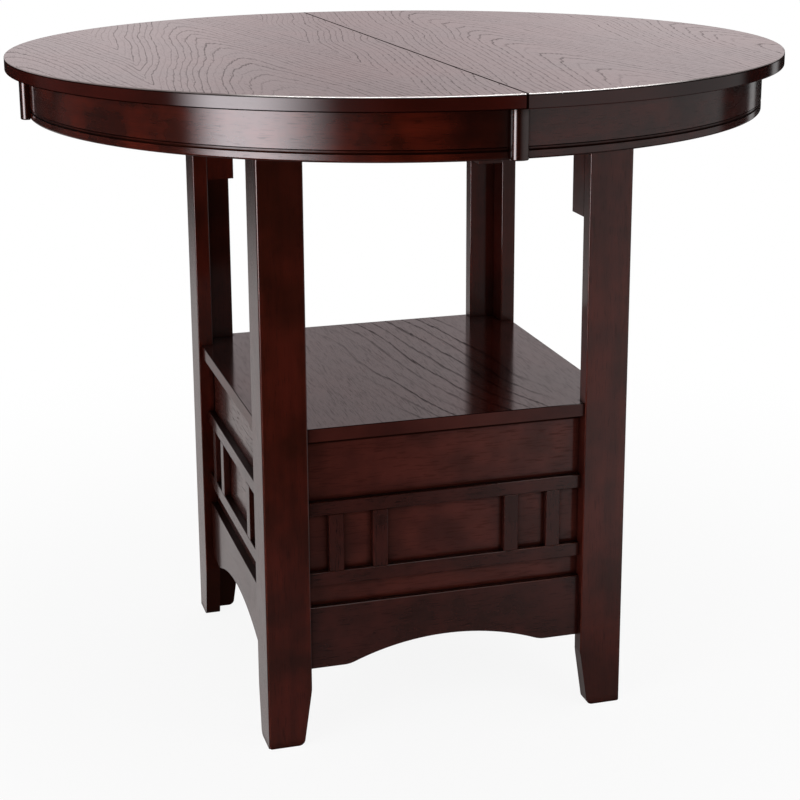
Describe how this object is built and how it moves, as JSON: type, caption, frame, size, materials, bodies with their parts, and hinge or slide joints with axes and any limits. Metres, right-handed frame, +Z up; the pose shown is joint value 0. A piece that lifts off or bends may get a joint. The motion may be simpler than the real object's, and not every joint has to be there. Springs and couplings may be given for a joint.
{
  "type": "counter height extension table",
  "caption": "Round pedestal-box counter height table with a seamed sliding top, curved apron, L-shaped corner legs, a shelf and a latticed box with arched lower boards.",
  "frame": {"origin": "middle of the base on the floor, under the middle of the closed top", "axes": "+Z up from the floor to the top; +X to the right, the way the right half slides; +Y to the back, along the seam. The front is at -Y"},
  "size_m": [1.0667, 1.0668, 0.9144],
  "materials": {
    "top_wood": "dark stained open-grain veneer under gloss lacquer",
    "shelf_wood": "dark stained open-grain veneer under gloss lacquer",
    "apron_wood": "red-brown stained, gloss lacquer",
    "leg_wood": "dark red-brown stained, satin lacquer",
    "panel_wood": "dark red-brown stained open-grain veneer, satin lacquer",
    "plain_wood": "unfinished, sawn and sanded",
    "slide_metal": "mill finish extrusion",
    "pinion_plastic": "moulded, dry running",
    "bracket_steel": "zinc plated and pressed",
    "fastener_steel": "zinc plated"
  },
  "bodies": {
    "base": {"back_arched_board": "panel_wood", "back_center_runner": "slide_metal", "back_lattice_slats": "panel_wood", "back_lattice_strips": "panel_wood", "back_left_leg_back_board": "leg_wood", "back_left_leg_block": "leg_wood", "back_left_leg_side_board": "leg_wood", "back_panel": "panel_wood", "back_right_leg_back_board": "leg_wood", "back_right_leg_block": "leg_wood", "back_right_leg_side_board": "leg_wood", "back_top_rail": "plain_wood", "box_corner_cleats": "plain_wood", "bracket_bolts": "fastener_steel", "corner_brackets": "bracket_steel", "frame_screws": "fastener_steel", "front_arched_board": "panel_wood", "front_center_runner": "slide_metal", "front_lattice_slats": "panel_wood", "front_lattice_strips": "panel_wood", "front_left_leg_block": "leg_wood", "front_left_leg_front_board": "leg_wood", "front_left_leg_side_board": "leg_wood", "front_panel": "panel_wood", "front_right_leg_block": "leg_wood", "front_right_leg_front_board": "leg_wood", "front_right_leg_side_board": "leg_wood", "front_top_rail": "plain_wood", "left_arched_board": "panel_wood", "left_lattice_slats": "panel_wood", "left_lattice_strips": "panel_wood", "left_panel": "panel_wood", "left_top_rail": "plain_wood", "leg_bolts": "fastener_steel", "right_arched_board": "panel_wood", "right_lattice_slats": "panel_wood", "right_lattice_strips": "panel_wood", "right_panel": "panel_wood", "right_top_rail": "plain_wood", "shelf": "shelf_wood"},
    "left_half": {"left_back_apron": "apron_wood", "left_back_runner": "slide_metal", "left_end_block": "apron_wood", "left_front_apron": "apron_wood", "left_front_runner": "slide_metal", "left_glue_blocks": "plain_wood", "left_runner_screws": "fastener_steel", "left_top": "top_wood"},
    "right_half": {"right_back_apron": "apron_wood", "right_back_runner": "slide_metal", "right_end_block": "apron_wood", "right_front_apron": "apron_wood", "right_front_runner": "slide_metal", "right_glue_blocks": "plain_wood", "right_runner_screws": "fastener_steel", "right_top": "top_wood", "seam_blocks": "apron_wood", "alignment_dowels": "plain_wood"},
    "front_pinion": {"front_pinion": "pinion_plastic"},
    "back_pinion": {"back_pinion": "pinion_plastic"}
  },
  "joints": [
    {"name": "left_half_slide", "type": "slide", "parent": "base", "child": "left_half", "axis": [-1, 0, 0], "range_m": [0, 0.2286]},
    {"name": "right_half_slide", "type": "slide", "parent": "base", "child": "right_half", "axis": [1, 0, 0], "range_m": [0, 0.2286]},
    {"name": "front_pinion_turn", "type": "hinge", "parent": "base", "child": "front_pinion", "pos_m": [0, -0.14, 0.886], "axis": [0, 0, -1], "range_deg": [0, 819]},
    {"name": "back_pinion_turn", "type": "hinge", "parent": "base", "child": "back_pinion", "pos_m": [0, 0.14, 0.886], "axis": [0, 0, -1], "range_deg": [0, 819]}
  ],
  "couplings": [
    {"joint": "right_half_slide", "follows": "left_half_slide", "ratio": 1},
    {"joint": "front_pinion_turn", "follows": "left_half_slide", "rad_per_m": 62.5},
    {"joint": "back_pinion_turn", "follows": "left_half_slide", "rad_per_m": 62.5}
  ]
}
